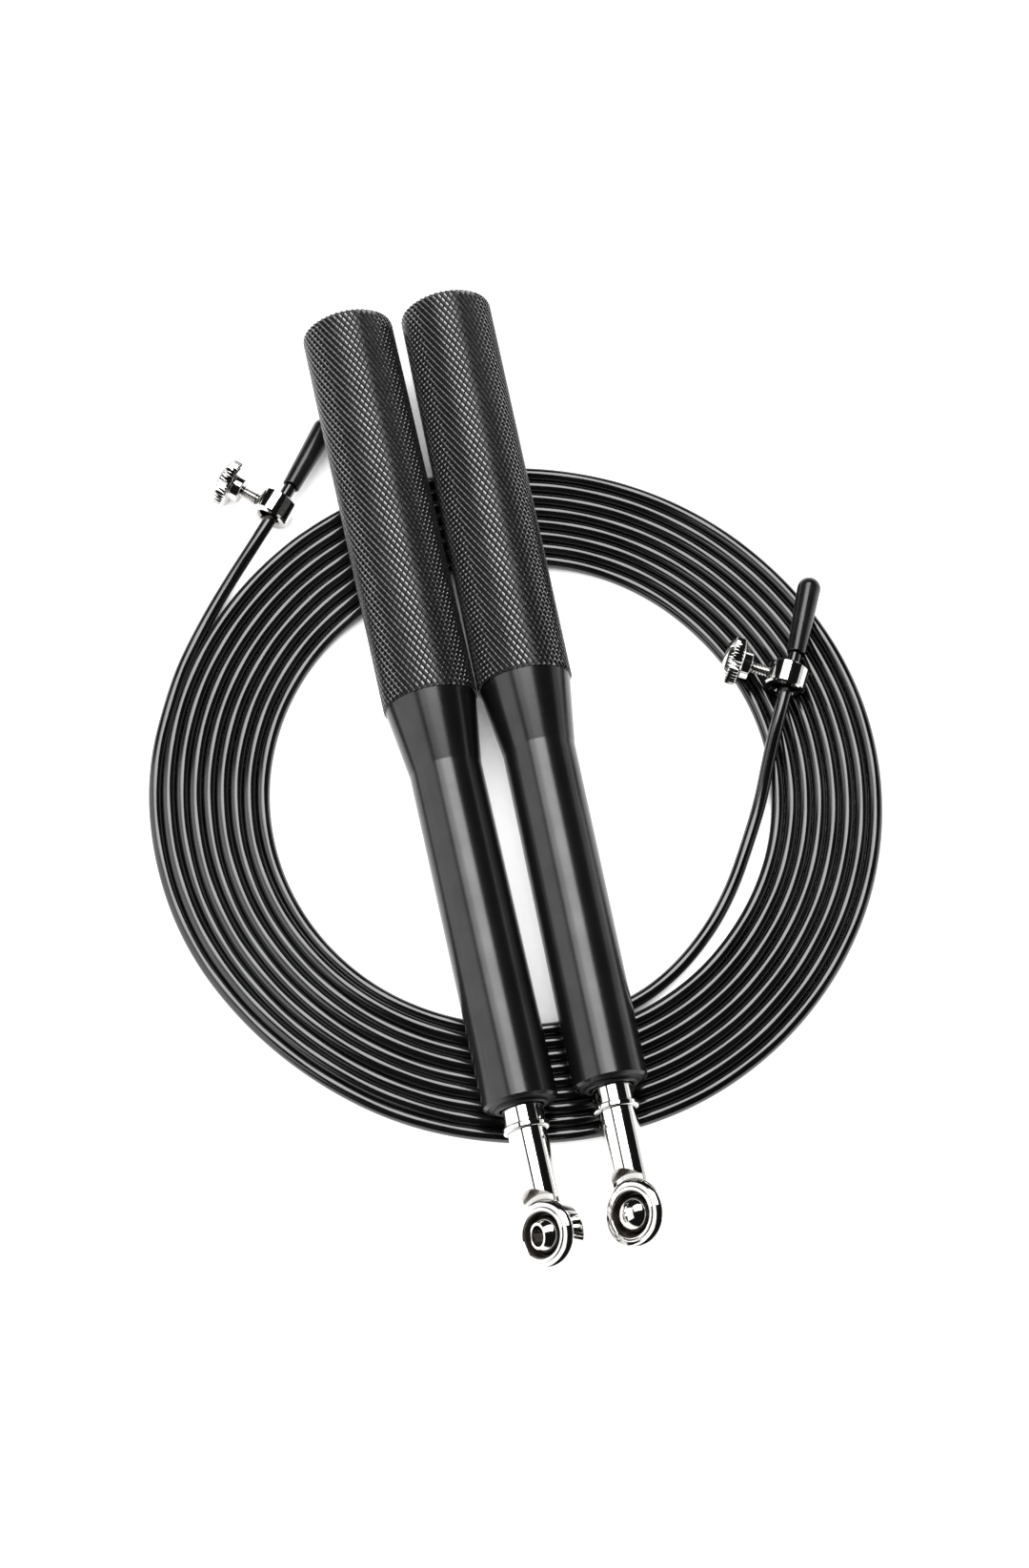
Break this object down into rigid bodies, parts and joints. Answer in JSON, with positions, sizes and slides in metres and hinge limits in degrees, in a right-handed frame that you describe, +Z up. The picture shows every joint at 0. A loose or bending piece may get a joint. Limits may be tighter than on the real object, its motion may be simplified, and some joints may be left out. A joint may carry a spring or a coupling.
{
  "type": "jump rope",
  "caption": "Speed jump rope: coiled coated steel cable with stop clamps and caps on its ends, and aluminium handles with knurled grips and ball-bearing swivel eyes.",
  "frame": {"origin": "middle of the coil's opening, on the surface that the coil lies on", "axes": "+Z up, +Y along the handles towards their grip ends, +X to the right seen from above"},
  "size_m": [0.1302, 0.1803, 0.0205],
  "materials": {
    "cable_jacket": "glossy extruded PVC over a steel strand",
    "vinyl": "dipped vinyl, glossy",
    "bright_nickel": "bright nickel plate",
    "dark_liner": "dark low-friction liner",
    "black_anodising": "black anodised, satin, with a diamond-knurled grip",
    "black_nylon": "moulded black nylon",
    "bearing_steel": "ground steel",
    "zinc_plate": "zinc plated",
    "cage_nylon": "natural nylon"
  },
  "bodies": {
    "coil": {"cable_coil": "cable_jacket", "outer_end_cable": "cable_jacket", "inner_end_cable": "cable_jacket", "outer_end_cap": "vinyl", "inner_end_cap": "vinyl"},
    "left_handle": {"left_barrel": "black_anodising", "left_end_plug": "black_nylon", "left_end_bush": "black_nylon", "left_outer_spacer": "bearing_steel", "left_front_outer_race": "bearing_steel", "left_rear_outer_race": "bearing_steel"},
    "left_eye": {"left_swivel_eye": "bright_nickel", "left_eye_race": "bright_nickel", "left_eye_liner": "dark_liner", "left_inner_spacer": "bearing_steel", "left_washer": "zinc_plate", "left_lock_nut": "zinc_plate", "left_front_inner_race": "bearing_steel", "left_rear_inner_race": "bearing_steel"},
    "left_bearing_balls": {"left_front_balls": "bearing_steel", "left_front_cage": "cage_nylon", "left_rear_balls": "bearing_steel", "left_rear_cage": "cage_nylon"},
    "left_ball": {"left_eye_ball": "bright_nickel"},
    "right_handle": {"right_barrel": "black_anodising", "right_end_plug": "black_nylon", "right_end_bush": "black_nylon", "right_outer_spacer": "bearing_steel", "right_front_outer_race": "bearing_steel", "right_rear_outer_race": "bearing_steel"},
    "right_eye": {"right_swivel_eye": "bright_nickel", "right_eye_race": "bright_nickel", "right_eye_liner": "dark_liner", "right_inner_spacer": "bearing_steel", "right_washer": "zinc_plate", "right_lock_nut": "zinc_plate", "right_front_inner_race": "bearing_steel", "right_rear_inner_race": "bearing_steel"},
    "right_bearing_balls": {"right_front_balls": "bearing_steel", "right_front_cage": "cage_nylon", "right_rear_balls": "bearing_steel", "right_rear_cage": "cage_nylon"},
    "right_ball": {"right_eye_ball": "bright_nickel"},
    "outer_end_collar": {"outer_end_collar": "bright_nickel"},
    "outer_end_screw": {"outer_end_thumb_screw": "bright_nickel"},
    "inner_end_collar": {"inner_end_collar": "bright_nickel"},
    "inner_end_screw": {"inner_end_thumb_screw": "bright_nickel"}
  },
  "joints": [
    {"name": "left_handle_lift", "type": "slide", "parent": "coil", "child": "left_handle", "axis": [0, 0, 1], "range_m": [0, 0.06]},
    {"name": "left_eye_spin", "type": "hinge", "parent": "left_handle", "child": "left_eye", "pos_m": [-0.01166, -0.05901, 0.00898], "axis": [0.0108, -0.9997, -0.0204], "continuous": true},
    {"name": "left_balls_orbit", "type": "hinge", "parent": "left_handle", "child": "left_bearing_balls", "pos_m": [-0.01172, -0.05401, 0.00908], "axis": [0.0108, -0.9997, -0.0204], "continuous": true},
    {"name": "left_ball_swivel", "type": "hinge", "parent": "left_eye", "child": "left_ball", "pos_m": [-0.01142, -0.08145, 0.00852], "axis": [0.7548, -0.0052, 0.6559], "continuous": true},
    {"name": "right_handle_lift", "type": "slide", "parent": "coil", "child": "right_handle", "axis": [0, 0, 1], "range_m": [0, 0.06]},
    {"name": "right_eye_spin", "type": "hinge", "parent": "right_handle", "child": "right_eye", "pos_m": [0.00387, -0.05861, 0.00898], "axis": [-0.0101, -0.9997, -0.0204], "continuous": true},
    {"name": "right_balls_orbit", "type": "hinge", "parent": "right_handle", "child": "right_bearing_balls", "pos_m": [0.00392, -0.05361, 0.00908], "axis": [-0.0101, -0.9997, -0.0204], "continuous": true},
    {"name": "right_ball_swivel", "type": "hinge", "parent": "right_eye", "child": "right_ball", "pos_m": [0.00364, -0.08106, 0.00852], "axis": [0.7545, -0.021, 0.6559], "continuous": true},
    {"name": "outer_end_collar_slide", "type": "slide", "parent": "coil", "child": "outer_end_collar", "axis": [-0.6401, -0.7683, 0], "range_m": [0, 0.003]},
    {"name": "outer_end_screw_travel", "type": "slide", "parent": "outer_end_collar", "child": "outer_end_screw", "axis": [-0.7641, 0.6366, 0.1045], "range_m": [0, 0.0025]},
    {"name": "inner_end_collar_slide", "type": "slide", "parent": "coil", "child": "inner_end_collar", "axis": [-0.4695, -0.8829, 0], "range_m": [0, 0.003]},
    {"name": "inner_end_screw_travel", "type": "slide", "parent": "inner_end_collar", "child": "inner_end_screw", "axis": [-0.8781, 0.4669, 0.1045], "range_m": [0, 0.0025]}
  ],
  "couplings": [
    {"joint": "left_balls_orbit", "follows": "left_eye_spin", "ratio": 0.394},
    {"joint": "right_balls_orbit", "follows": "right_eye_spin", "ratio": 0.394}
  ]
}
